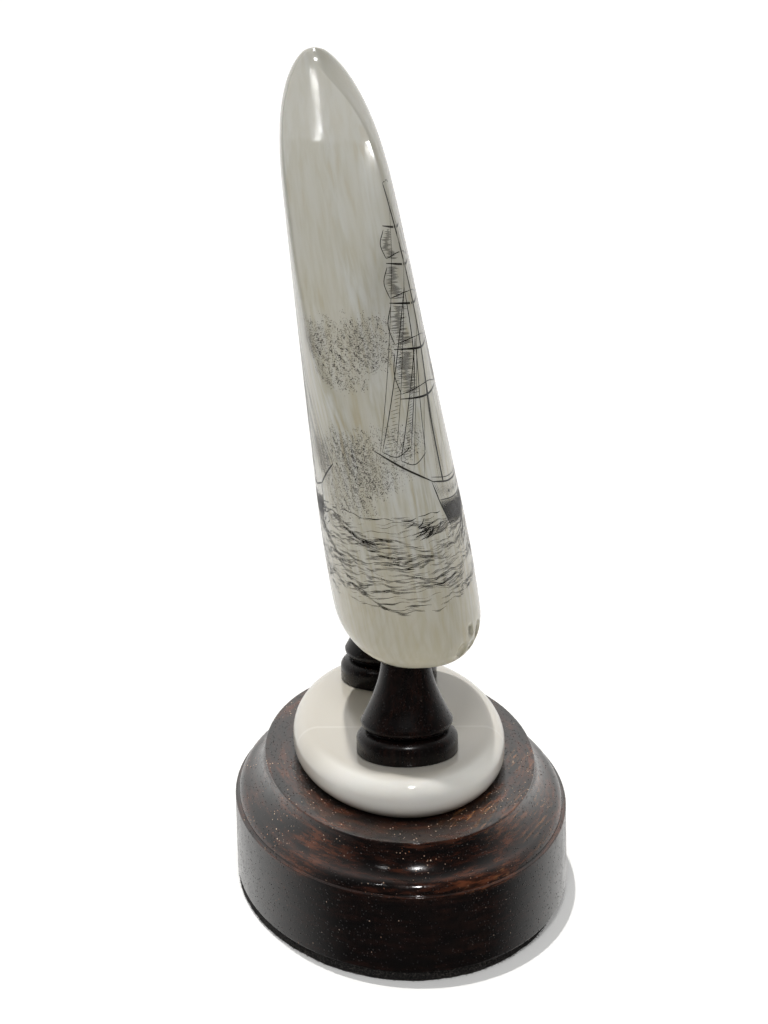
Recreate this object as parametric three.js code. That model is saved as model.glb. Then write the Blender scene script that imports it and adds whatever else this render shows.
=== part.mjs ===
// A whale tooth with its engraved faces left and right, held upright on two turned pillars
// over an oval ivory plate and a moulded oval base of dark wood, with felt under the base.
//
// Lengths are in millimetres. The origin is at the middle of the felt's underside: +Z is up,
// Y runs along the oval base, the tooth's narrow front edge looks towards -Y, and X runs
// through the tooth's thickness.

import * as THREE from 'three';
import { mergeVertices } from 'three/addons/utils/BufferGeometryUtils.js';

// Felt pad
const feltThickness = 2.3;
const feltInset = 0.2;              // the felt stops this far inside the plinth's face

// Wooden base: a plinth, a round shoulder running into a cove, and a ledge on top
const plinthHalfWidth = 40.2;
const plinthHalfLength = 68.6;
const plinthHeight = 18.4;
const plinthArris = 0.9;            // flat left between the plinth's face and the shoulder
const mouldingHeight = 10.2;
const mouldingInset = 7.5;          // from the plinth's face in to the ledge's edge
const ledgeLip = 0.8;               // upright edge above the cove
const shoulderRadius = 3;

// Ivory plate
const plateHalfWidth = 25.6;
const plateHalfLength = 47.6;
const plateThickness = 10;
const plateTopRound = 5.4;          // radius of the rounded upper edge
const plateFootRound = 3;           // radius of the eased lower edge

// Turned pillars, one behind the other on the plate
const pillarSpacing = 53.6;
const pillarHeight = 22.6;
const footRadius = 12;
const footRimHeight = 3.4;
const footCrownHeight = 2.2;
const grooveRadius = 9.4;
const grooveHeight = 0.5;
const bellRadius = 10.9;
const bellRoundHeight = 1.9;
const neckRadius = 5.8;
const neckSweep = 1.6;              // how quickly the bell draws in to the neck

// Tooth. Places along its height are shares of it, from 0 at the butt to 1 at the tip.
const toothHeight = 138.6;
const toothLean = 0.139;            // sideways shift towards -X for each millimetre of height
const toothButtShift = 3.3;         // middle of the butt, to the +X side of the pillars
const tipShift = 0.5;               // the tip stands this far back from the straight lean
const tipShiftStart = 0.5;          // share of the height where that begins
const buttThickness = 37.6;
const tipThickness = 22.4;          // where the straight taper would end at the tip's height
const buttHalfDepth = 39;
const frontSweepDepth = 14;         // the front edge draws back by this times its share
const frontBowDepth = 34;           // and by this times the share squared
const backSweepDepth = 22;          // the back edge draws forward by this times its share
const backBowDepth = -12.5;         // and by this times the share squared
const tipSetBack = 13;              // the tip lies this far behind the middle of the butt
const buttTuckInset = 1.6;          // the butt's sides draw in this far over its last stretch
const buttTuckHeight = 32;
const buttRoundHeight = 7;
const buttRoundInset = 4.4;
const tipStart = 0.72;              // where the tip begins to round
const tipTaper = 3.25;              // larger values keep the section full for longer
const tipBluntness = 1.45;          // larger values give a blunter end
const tipPointHeight = 0.5;         // the taper would come to a point this far above the tip
const tipCapHeight = 1.1;           // height of the small dome on the tip
const bodySquareness = 2.35;        // exponent of the oval section, 2 being an ellipse
const facetStart = 0.15;            // where the ground facet on the front edge begins
const facetFull = 0.72;             // where it has its full breadth
const facetNarrowing = 0.85;        // where it begins to narrow to a pointed arch
const facetShareLow = 1.3;          // its distance from the middle, over the oval's half depth
const facetShareHigh = 0.52;
const facetShareTip = 1.15;
const facetTurnLow = 14;            // degrees that the facet turns towards +X low down
const facetTurnHigh = -27;          // and in its upper part
const facetTurnStart = 0.42;
const facetTurnEnd = 0.72;
const facetRadius = 32;             // the facet is a little convex from ridge to ridge
const ridgeSharpness = 18;          // larger values give crisper ridges beside the facet

// Fineness of the faceted surfaces
const ovalSegments = 64;
const pillarSegments = 32;
const toothSegments = 48;
const arcSteps = 5;
const smallArcSteps = 3;
const neckSteps = 10;
const buttLevels = 5;
const shankLevels = 13;
const tipLevels = 12;
const weldDistance = 0.0001;

// Heights of the stack, from the ground up
const woodBottom = feltThickness;
const ledgeTop = woodBottom + plinthHeight + mouldingHeight;
const plateTop = ledgeTop + plateThickness;
const toothBottom = plateTop + pillarHeight;

const lerp = THREE.MathUtils.lerp;
const smoothstep = THREE.MathUtils.smoothstep;

// A closed body through rings of equal count, listed from the bottom up, with flat ends
function loftRings(rings) {
  const count = rings[0].length;
  const positions = rings.flat().flatMap((point) => [point.x, point.y, point.z]);
  const triangles = [];
  for (let level = 0; level < rings.length - 1; level += 1) {
    for (let side = 0; side < count; side += 1) {
      const lower = level * count + side;
      const lowerNext = level * count + ((side + 1) % count);
      triangles.push(lower, lowerNext, lowerNext + count);
      triangles.push(lower, lowerNext + count, lower + count);
    }
  }
  const ends = [rings[0], rings[rings.length - 1]];
  ends.forEach((ring, isTop) => {
    const middle = new THREE.Vector3();
    ring.forEach((point) => middle.addScaledVector(point, 1 / count));
    const hub = positions.length / 3;
    positions.push(middle.x, middle.y, middle.z);
    const first = isTop ? (rings.length - 1) * count : 0;
    for (let side = 0; side < count; side += 1) {
      const here = first + side;
      const next = first + ((side + 1) % count);
      triangles.push(hub, isTop ? here : next, isTop ? next : here);
    }
  });
  const geometry = new THREE.BufferGeometry();
  geometry.setAttribute('position', new THREE.Float32BufferAttribute(positions, 3));
  geometry.setIndex(triangles);
  geometry.computeVertexNormals();
  return geometry;
}

// Points of an arc of an ellipse, both ends included, angles in degrees
function arcPoints(centre, radiusX, radiusY, from, to, steps) {
  const points = [];
  for (let step = 0; step <= steps; step += 1) {
    const angle = THREE.MathUtils.degToRad(lerp(from, to, step / steps));
    const x = centre.x + radiusX * Math.cos(angle);
    points.push(new THREE.Vector2(x, centre.y + radiusY * Math.sin(angle)));
  }
  return points;
}

// An oval body whose outline steps in from the full oval: each profile point holds the inset
// and the height, from the bottom up
function ovalBody(halfWidth, halfLength, profile) {
  const rings = profile.map(({ x: inset, y: height }) => {
    const ring = [];
    for (let side = 0; side < ovalSegments; side += 1) {
      const angle = (2 * Math.PI * side) / ovalSegments;
      const x = (halfWidth - inset) * Math.cos(angle);
      const y = (halfLength - inset) * Math.sin(angle);
      ring.push(new THREE.Vector3(x, y, height));
    }
    return ring;
  });
  return loftRings(rings);
}

function feltGeometry() {
  const profile = [new THREE.Vector2(feltInset, 0), new THREE.Vector2(feltInset, feltThickness)];
  return ovalBody(plinthHalfWidth, plinthHalfLength, profile);
}

// The shoulder and the cove are two arcs that meet in a common tangent. Both are upright at
// their far ends, so their radii follow from the height and the inset between those ends.
function baseProfile() {
  const rise = mouldingHeight - ledgeLip;
  const run = mouldingInset - plinthArris;
  const bothRadii = (run * run + rise * rise) / (2 * run);
  const coveRadius = bothRadii - shoulderRadius;
  const turn = THREE.MathUtils.radToDeg(Math.asin(rise / bothRadii));
  const shoulderCentre = new THREE.Vector2(plinthArris + shoulderRadius, plinthHeight);
  const coveCentre = new THREE.Vector2(mouldingInset - coveRadius, plinthHeight + rise);
  const shoulder = arcPoints(
    shoulderCentre, shoulderRadius, shoulderRadius, 180, 180 - turn, arcSteps);
  const cove = arcPoints(coveCentre, coveRadius, coveRadius, -turn, 0, arcSteps);
  return [
    new THREE.Vector2(0, 0),
    new THREE.Vector2(0, plinthHeight),
    ...shoulder,
    ...cove.slice(1),
    new THREE.Vector2(mouldingInset, plinthHeight + mouldingHeight),
  ];
}

function plateProfile() {
  const footCentre = new THREE.Vector2(plateFootRound, plateFootRound);
  const topCentre = new THREE.Vector2(plateTopRound, plateThickness - plateTopRound);
  return [
    ...arcPoints(footCentre, plateFootRound, plateFootRound, 270, 180, smallArcSteps),
    ...arcPoints(topCentre, plateTopRound, plateTopRound, 180, 90, arcSteps),
  ];
}

function pillarGeometry() {
  const grooveBottom = footRimHeight + footCrownHeight;
  const bellBottom = grooveBottom + grooveHeight;
  const bellWidest = bellBottom + bellRoundHeight;
  const crownCentre = new THREE.Vector2(grooveRadius, footRimHeight);
  const bellCentre = new THREE.Vector2(grooveRadius, bellWidest);
  const crownReach = footRadius - grooveRadius;
  const bellReach = bellRadius - grooveRadius;
  const profile = [
    new THREE.Vector2(0, 0),
    new THREE.Vector2(footRadius, 0),
    ...arcPoints(crownCentre, crownReach, footCrownHeight, 0, 90, arcSteps),
    ...arcPoints(bellCentre, bellReach, bellRoundHeight, -90, 0, smallArcSteps),
  ];
  for (let step = 1; step <= neckSteps; step += 1) {
    const share = step / neckSteps;
    const radius = neckRadius + (bellRadius - neckRadius) * (1 - share) ** neckSweep;
    profile.push(new THREE.Vector2(radius, lerp(bellWidest, pillarHeight, share)));
  }
  profile.push(new THREE.Vector2(0, pillarHeight));
  const turned = new THREE.LatheGeometry(profile, pillarSegments);
  turned.rotateX(Math.PI / 2);
  turned.deleteAttribute('normal');
  turned.deleteAttribute('uv');
  const geometry = mergeVertices(turned, weldDistance);
  geometry.computeVertexNormals();
  return geometry;
}

// How much of the full section is left at a height, from 1 down to 0 at the tip
function tipFactor(height) {
  const start = tipStart * toothHeight;
  const along = Math.max(0, (height - start) / (toothHeight + tipPointHeight - start));
  const intoCap = Math.max(0, 1 - (toothHeight - height) / tipCapHeight);
  return (1 - along ** tipTaper) ** (1 / tipBluntness) * Math.sqrt(1 - intoCap ** 2);
}

// How far the butt's rounded edge and its tucked sides draw the section in at a height
function buttInset(height) {
  const roundLeft = Math.max(0, 1 - height / buttRoundHeight);
  const tuckLeft = Math.max(0, 1 - height / buttTuckHeight);
  return buttRoundInset * (1 - Math.sqrt(1 - roundLeft ** 2)) + buttTuckInset * tuckLeft ** 2;
}

// The smooth lesser of two radii, which rounds the ridges where they cross
function blendRadii(toOval, toFacet) {
  return toOval * (1 + (toOval / toFacet) ** ridgeSharpness) ** (-1 / ridgeSharpness);
}

// Distance to the facet, a parabola across the front edge, in a direction from the middle
function facetReach(depth, direction) {
  const facing = -Math.sin(direction);
  const bowing = (2 * depth * Math.cos(direction) ** 2) / facetRadius;
  return (2 * depth) / (facing + Math.sqrt(facing ** 2 + bowing));
}

// One level section of the tooth: a squarish oval between the front and the back edge, cut at
// the front by the ground facet
function toothRing(height) {
  const share = height / toothHeight;
  const fade = tipFactor(height);
  const inset = buttInset(height);
  const halfX = (lerp(buttThickness, tipThickness, share) / 2) * fade - inset;
  const frontSweep = frontSweepDepth * share + frontBowDepth * share ** 2;
  const backSweep = backSweepDepth * share + backBowDepth * share ** 2;
  const front = lerp(tipSetBack, frontSweep - buttHalfDepth, fade) + inset;
  const back = lerp(tipSetBack, buttHalfDepth - backSweep, fade) - inset;
  const ground = smoothstep(share, facetStart, facetFull);
  const narrowing = (Math.max(0, share - facetNarrowing) / (1 - facetNarrowing)) ** 2;
  const cut = lerp(lerp(facetShareLow, facetShareHigh, ground), facetShareTip, narrowing);
  const halfY = (back - front) / (1 + blendRadii(1, cut));
  const righted = tipShift * smoothstep(share, tipShiftStart, 1);
  const middleX = toothButtShift - toothLean * height + righted;
  const middleY = back - halfY;
  const turned = smoothstep(share, facetTurnStart, facetTurnEnd);
  const turn = THREE.MathUtils.degToRad(lerp(facetTurnLow, facetTurnHigh, turned));
  const ring = [];
  for (let side = 0; side < toothSegments; side += 1) {
    const angle = (2 * Math.PI * side) / toothSegments;
    const towards = Math.atan2(halfY * Math.sin(angle), halfX * Math.cos(angle));
    const overX = Math.abs(Math.cos(towards) / halfX) ** bodySquareness;
    const overY = Math.abs(Math.sin(towards) / halfY) ** bodySquareness;
    const toOval = (overX + overY) ** (-1 / bodySquareness);
    const radius = blendRadii(toOval, facetReach(cut * halfY, towards - turn));
    const x = middleX + radius * Math.cos(towards);
    ring.push(new THREE.Vector3(x, middleY + radius * Math.sin(towards), height));
  }
  return ring;
}

function toothGeometry() {
  const tipHeight = tipStart * toothHeight;
  const heights = [];
  for (let level = 0; level < buttLevels; level += 1) {
    const angle = (Math.PI / 2) * (level / buttLevels);
    heights.push(buttRoundHeight * (1 - Math.cos(angle)));
  }
  for (let level = 0; level < shankLevels; level += 1) {
    heights.push(lerp(buttRoundHeight, tipHeight, level / shankLevels));
  }
  for (let level = 0; level < tipLevels; level += 1) {
    const angle = (Math.PI / 2) * (level / tipLevels);
    heights.push(lerp(tipHeight, toothHeight, Math.sin(angle)));
  }
  return loftRings(heights.map(toothRing));
}

function place(parent, name, geometry, material, x, y, z) {
  const mesh = new THREE.Mesh(geometry, material);
  mesh.name = name;
  mesh.position.set(x, y, z);
  parent.add(mesh);
}

function darkWood() {
  return new THREE.MeshStandardMaterial({ color: 0x2b1712, roughness: 0.3, metalness: 0 });
}

const stand = new THREE.Group();
const felt = new THREE.MeshStandardMaterial({ color: 0x0d0c0b, roughness: 1, metalness: 0 });
const ivory = new THREE.MeshStandardMaterial({ color: 0xe6e1d6, roughness: 0.25, metalness: 0 });
const dentine = new THREE.MeshStandardMaterial({ color: 0xd3cfc1, roughness: 0.2, metalness: 0 });
const base = ovalBody(plinthHalfWidth, plinthHalfLength, baseProfile());
const plate = ovalBody(plateHalfWidth, plateHalfLength, plateProfile());

place(stand, 'felt_pad', feltGeometry(), felt, 0, 0, 0);
place(stand, 'wood_base', base, darkWood(), 0, 0, woodBottom);
place(stand, 'ivory_plate', plate, ivory, 0, 0, ledgeTop);
place(stand, 'front_pillar', pillarGeometry(), darkWood(), 0, -pillarSpacing / 2, plateTop);
place(stand, 'rear_pillar', pillarGeometry(), darkWood(), 0, pillarSpacing / 2, plateTop);

const whole = new THREE.Group();
whole.add(stand);
place(whole, 'tooth', toothGeometry(), dentine, 0, 0, toothBottom);

export default whole;
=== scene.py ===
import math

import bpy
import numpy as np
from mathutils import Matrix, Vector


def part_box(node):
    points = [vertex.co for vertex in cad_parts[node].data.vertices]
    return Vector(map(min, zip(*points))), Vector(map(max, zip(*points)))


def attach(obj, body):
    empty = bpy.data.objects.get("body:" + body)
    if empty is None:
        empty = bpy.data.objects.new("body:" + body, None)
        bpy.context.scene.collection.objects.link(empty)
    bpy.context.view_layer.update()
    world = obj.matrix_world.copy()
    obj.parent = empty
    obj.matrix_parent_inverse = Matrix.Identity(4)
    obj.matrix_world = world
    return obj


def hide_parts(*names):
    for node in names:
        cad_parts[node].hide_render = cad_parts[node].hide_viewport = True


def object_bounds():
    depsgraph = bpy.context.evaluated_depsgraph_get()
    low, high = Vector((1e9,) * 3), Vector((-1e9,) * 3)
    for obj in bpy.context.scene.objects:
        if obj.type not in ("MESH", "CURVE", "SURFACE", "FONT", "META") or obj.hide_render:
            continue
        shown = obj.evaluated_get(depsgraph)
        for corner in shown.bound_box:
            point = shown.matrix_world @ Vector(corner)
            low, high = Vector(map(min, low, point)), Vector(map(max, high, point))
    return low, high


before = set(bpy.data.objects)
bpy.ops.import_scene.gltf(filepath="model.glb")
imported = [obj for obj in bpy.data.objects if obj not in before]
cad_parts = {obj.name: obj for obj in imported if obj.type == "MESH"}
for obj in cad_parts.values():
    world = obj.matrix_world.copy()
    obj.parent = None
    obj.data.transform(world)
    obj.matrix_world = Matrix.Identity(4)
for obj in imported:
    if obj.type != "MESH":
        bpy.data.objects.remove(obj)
cad_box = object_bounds()

# A whale tooth engraved with ships, held upright on two turned pillars over an oval ivory
# plate and a moulded oval base of dark wood, with felt under the base.
#
# Sizes are in millimetres, and meshes are turned into metres where they are made. Places
# come from the frame's boxes. +Z is up and the tooth's narrow front edge looks towards -Y.

mm = 0.001
random = np.random.default_rng(11)


def box_mm(node):
    low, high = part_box(node)
    return np.array(low) / mm, np.array(high) / mm


felt_low, felt_high = box_mm("felt_pad")
base_low, base_high = box_mm("wood_base")
plate_low, plate_high = box_mm("ivory_plate")
tooth_low, _ = box_mm("tooth")


# Camera

camera_azimuth = math.radians(-4.4)
camera_elevation = math.radians(20.443)
camera_roll = math.radians(-1.16)
camera_distance = 0.850
aim_point = Vector((0, 0, 0.030))
aim_pixel = (398.812, 753.964)  # where the aim point lies in the picture
picture_width = 768
picture_height = 1024
focal_pixels = 3462.154
sensor_width = 36


def add_object(name, data):
    added = bpy.data.objects.new(name, data)
    bpy.context.scene.collection.objects.link(added)
    return added


def make_camera():
    level = math.cos(camera_elevation)
    back = Vector((
        math.sin(camera_azimuth) * level,
        -math.cos(camera_azimuth) * level,
        math.sin(camera_elevation),
    ))
    forward = -back
    right = forward.cross(Vector((0, 0, 1))).normalized()
    up = right.cross(forward)
    cosine = math.cos(camera_roll)
    sine = math.sin(camera_roll)
    rolled = Matrix((cosine * right + sine * up, cosine * up - sine * right, forward))
    across = (aim_pixel[0] - picture_width / 2) / focal_pixels
    along = (picture_height / 2 - aim_pixel[1]) / focal_pixels
    aim = Vector((across, along, 1)).normalized()
    swing = Vector((0, 0, 1)).rotation_difference(aim).to_matrix()
    axes = swing @ rolled
    data = bpy.data.cameras.new("camera")
    data.sensor_width = sensor_width
    data.lens = focal_pixels * sensor_width / picture_height
    data.clip_start = 0.05
    data.clip_end = 50
    camera = add_object("camera", data)
    turned = Matrix((axes[0], axes[1], -axes[2])).transposed().to_4x4()
    camera.matrix_world = Matrix.Translation(aim_point + back * camera_distance) @ turned
    bpy.context.scene.camera = camera


# Material nodes

class Nodes:
    """Adds nodes to a material, or to the sky, and joins their sockets."""

    def __init__(self, name, owners=bpy.data.materials, shader="Principled BSDF", place="Object"):
        self.owner = owners.new(name)
        self.owner.use_nodes = True
        self.tree = self.owner.node_tree
        self.shader = self.tree.nodes[shader]
        coordinates = self.add("TexCoord")
        self.place = coordinates.outputs[place]
        self.outward = coordinates.outputs["Normal"]
        self.colour = None

    def put(self, socket, value):
        if isinstance(value, bpy.types.NodeSocket):
            self.tree.links.new(value, socket)
        else:
            socket.default_value = value

    def add(self, kind, inputs=None, **settings):
        """A node, its inputs given by name or number."""
        node = self.tree.nodes.new("ShaderNode" + kind)
        for name, value in settings.items():
            setattr(node, name, value)
        for name, value in (inputs or {}).items():
            self.put(node.inputs[name], value)
        return node

    def stretch(self, scale, turn=(0, 0, 0)):
        """The place turned by degrees and then scaled along each axis."""
        radians = [math.radians(angle) for angle in turn]
        turned = self.add("Mapping", {"Vector": self.place, "Rotation": radians}, vector_type="POINT")
        inputs = {0: turned.outputs[0], 1: scale}
        return self.add("VectorMath", inputs, operation="MULTIPLY").outputs[0]

    def noise(self, scale, detail=4, roughness=0.55, distortion=0, over=None):
        """Noise from 0 to 1. The scale counts its lumps in a metre."""
        inputs = {
            "Vector": self.place if over is None else over, "Scale": scale, "Detail": detail,
            "Roughness": roughness, "Distortion": distortion,
        }
        return self.add("TexNoise", inputs).outputs["Fac"]

    def join(self, first, second, third):
        """A vector made of three values."""
        return self.add("CombineXYZ", {0: first, 1: second, 2: third}).outputs[0]

    def along_tooth(self, squeeze):
        """The place with the tooth's lean and its swept front edge straightened. Its height is
        multiplied by the squeeze, which draws the pattern out along the tooth."""
        above_butt = self.plus(self.axis("Z"), -tooth_low[2] * mm)
        share = self.times(above_butt, 1 / (tooth_height * mm))
        across = self.plus(self.axis("X"), self.times(above_butt, tooth_lean))
        swept = self.times(share, -front_sweep * mm)
        bowed = self.times(share, share, -front_bow * mm)
        deep = self.plus(self.axis("Y"), swept, bowed)
        return self.join(across, deep, self.times(above_butt, squeeze))

    def round_base(self, squeeze):
        """The place unrolled round the oval base: along the mouldings, inwards and up."""
        across = self.times(self.axis("X"), 1 / (base_high[0] * mm))
        deep = self.times(self.axis("Y"), -1 / (base_high[1] * mm))
        angle = self.math("ARCTAN2", across, deep)
        squares = self.plus(self.times(across, across), self.times(deep, deep))
        inward = self.times(self.math("SQRT", squares), base_high[0] * mm)
        return self.join(self.times(angle, squeeze * base_high[1] * mm), inward, self.axis("Z"))

    def axis(self, name):
        return self.add("SeparateXYZ", {0: self.place}).outputs[name]

    def math(self, operation, first, second=0.0):
        return self.add("Math", {0: first, 1: second}, operation=operation).outputs[0]

    def times(self, value, *others):
        for other in others:
            value = self.math("MULTIPLY", value, other)
        return value

    def plus(self, value, *others):
        for other in others:
            value = self.math("ADD", value, other)
        return value

    def span(self, value, low, high, start=0.0, end=1.0):
        """The value's way from low to high, eased, as start to end. Low may be the greater."""
        inputs = {"Value": value, "From Min": low, "From Max": high, "To Min": start, "To Max": end}
        return self.add("MapRange", inputs, interpolation_type="SMOOTHSTEP").outputs[0]

    def mix(self, factor, first, second):
        inputs = {"Factor": factor, 6: first, 7: second}
        return self.add("Mix", inputs, data_type="RGBA").outputs[2]

    def coat(self, share, shade):
        """Takes the colour so far towards a shade."""
        self.colour = self.mix(share, self.colour, shade)

    def tint(self, most, value, low, high, shade):
        """Coats by up to most, as a value goes from low to high."""
        self.coat(self.span(value, low, high, 0, most), shade)

    def polish(self, scale, smooth, dull):
        """Roughness that wavers between two values."""
        return self.span(self.noise(scale), 0.3, 0.7, smooth, dull)

    def bump(self, height, distance, strength, under=None):
        inputs = {"Height": height, "Distance": distance, "Strength": strength}
        if under is not None:
            inputs["Normal"] = under
        return self.add("Bump", inputs).outputs[0]

    def finish(self, **values):
        """Puts values on the shader's sockets, written with _ for a space."""
        for name, value in values.items():
            self.put(self.shader.inputs[name.replace("_", " ")], value)
        return self.owner


def tone(red, green, blue):
    return (red, green, blue, 1.0)


def grey(light, green_share, blue_share):
    """A warm grey, its green and blue given as shares of its red."""
    return tone(light, green_share * light, blue_share * light)


# Growth lines and a warmer colour fade upwards between these heights, in metres above the floor
growth_fade = (0.068, 0.100)
warm_fade = (0.064, 0.110)
tip_line_height = 0.1835  # a faint line crosses the tooth here
growth_line_middle = 0.003  # the growth lines peak at this X
growth_line_slope = 2.2
growth_line_turns = 900  # radians in a metre of height
facet_way = (-0.38, -0.75, 0.54)  # the way the ground facet faces near the tip
ivory_glow = (1.0, 0.8, 0.55)  # how far red, green and blue light run in ivory, as shares
ivory_glow_reach = 0.002


def tooth_ivory():
    nodes = Nodes("tooth_ivory")
    streaks = nodes.noise(740, 3, 0.5, 0.25, nodes.along_tooth(0.13))
    fine = nodes.noise(1400, 3, 0.6, 0.2, nodes.along_tooth(0.11))
    broad = nodes.noise(150, 2, 0.5, 0.2, nodes.along_tooth(0.14))
    grain = nodes.noise(2600, 3, 0.7)
    clouding = nodes.noise(45, 2)
    height = nodes.axis("Z")
    buff = tone(0.455, 0.44, 0.36)
    bluish = tone(0.565, 0.57, 0.54)
    cream = tone(0.55, 0.535, 0.46)
    yellowish = tone(0.49, 0.46, 0.36)
    amber = tone(0.44, 0.37, 0.24)
    nodes.colour = nodes.mix(nodes.span(streaks, 0.34, 0.66), buff, bluish)
    nodes.tint(0.35, fine, 0.35, 0.75, cream)
    nodes.tint(0.5, broad, 0.65, 0.40, yellowish)
    stained = nodes.times(nodes.span(streaks, 0.44, 0.28), nodes.span(clouding, 0.40, 0.62), 0.5)
    nodes.coat(stained, amber)
    nodes.tint(0.12, grain, 0.5, 0.85, tone(0.38, 0.34, 0.26))
    # growth lines, nested peaks close to the butt
    across = nodes.math("ABSOLUTE", nodes.plus(nodes.axis("X"), -growth_line_middle))
    steep = nodes.plus(nodes.times(across, growth_line_slope), height, nodes.times(broad, 0.012))
    lines = nodes.math("SINE", nodes.times(steep, growth_line_turns))
    near_butt = nodes.span(height, *growth_fade, 1, 0)
    growth = nodes.times(nodes.span(lines, 0.3, 1.0, 0, 0.20), near_butt)
    nodes.coat(growth, tone(0.44, 0.38, 0.27))
    nodes.coat(nodes.span(height, *warm_fade, 0.55, 0), tone(0.485, 0.445, 0.335))
    # whiter near the tip, with a painted highlight above the faint line where the tip's face leans back
    # to the light, and painted shade on the flanks beside the front facet
    above_line = nodes.plus(height, nodes.times(broad, 0.004), -tip_line_height)
    nodes.tint(0.30, above_line, 0, 0.0015, tone(0.60, 0.59, 0.545))
    nodes.tint(0.35, height, 0.130, 0.180, tone(0.60, 0.605, 0.58))
    # painted shade: near the tip, the flanks that turn away from the front facet are painted darker and
    # greyer
    inputs = {0: nodes.outward, 1: facet_way}
    facing = nodes.add("VectorMath", inputs, operation="DOT_PRODUCT")
    off_facet = nodes.span(facing.outputs["Value"], 0.955, 0.86, 0, 0.6)
    flank_painted_shade = nodes.times(off_facet, nodes.span(height, 0.11, 0.165))
    nodes.coat(flank_painted_shade, tone(0.34, 0.33, 0.285))
    bump = nodes.bump(grain, 0.00002, 0.3)
    bump = nodes.bump(streaks, 0.00006, 0.4, bump)
    bump = nodes.bump(broad, 0.0002, 0.25, bump)
    return nodes.finish(
        Base_Color=nodes.colour, Roughness=nodes.polish(160, 0.09, 0.16), Normal=bump, IOR=1.5,
        Subsurface_Weight=0.10, Subsurface_Radius=ivory_glow, Subsurface_Scale=ivory_glow_reach,
    )


plate_line_slope = 0.12  # a pale line crosses the plate aslant
plate_line_middle = -0.0105  # its Y at the plate's middle, in metres
plate_line_half_width = 0.0010
# height of the painted shade at the plate's foot, in millimetres
plate_foot_shade_height = 4.2


def plate_ivory():
    nodes = Nodes("plate_ivory")
    veil = nodes.noise(45, 2, 0.4, over=nodes.stretch((1, 0.3, 1), (0, 0, 20)))
    grain = nodes.noise(2200, 3, 0.7)
    top = plate_high[2] * mm
    # painted light: the rounded rim is painted whiter than the top, most of all in front, standing in
    # for the light it catches there
    below_top = nodes.span(nodes.axis("Z"), top - 0.0001, top - 0.0014)
    rim_painted_light = nodes.times(below_top, nodes.span(nodes.axis("Y"), -0.040, -0.015, 1, 0.1))
    pale = nodes.mix(rim_painted_light, tone(0.655, 0.625, 0.565), tone(0.95, 0.935, 0.885))
    dull = nodes.mix(rim_painted_light, tone(0.625, 0.59, 0.52), tone(0.91, 0.89, 0.83))
    nodes.colour = nodes.mix(nodes.span(veil, 0.35, 0.65), pale, dull)
    nodes.tint(0.10, grain, 0.5, 0.9, tone(0.6, 0.55, 0.46))
    bent = nodes.plus(nodes.axis("Y"), nodes.times(nodes.axis("X"), plate_line_slope))
    off_line = nodes.math("ABSOLUTE", nodes.plus(bent, -plate_line_middle))
    nodes.tint(0.35, off_line, plate_line_half_width, 0.0002, tone(0.80, 0.78, 0.73))
    # painted shade, darker towards the foot
    foot = plate_low[2] * mm
    foot_shade_top = foot + plate_foot_shade_height * mm
    nodes.tint(0.70, nodes.axis("Z"), foot_shade_top, foot, tone(0.36, 0.29, 0.22))
    return nodes.finish(
        Base_Color=nodes.colour, Roughness=nodes.polish(140, 0.10, 0.16), IOR=1.5,
        Normal=nodes.bump(grain, 0.00003, 0.3),
        Subsurface_Weight=0.12, Subsurface_Radius=(1.0, 0.85, 0.65), Subsurface_Scale=ivory_glow_reach,
    )


pores_per_metre = 1450
roughness_range = 0.11


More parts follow.
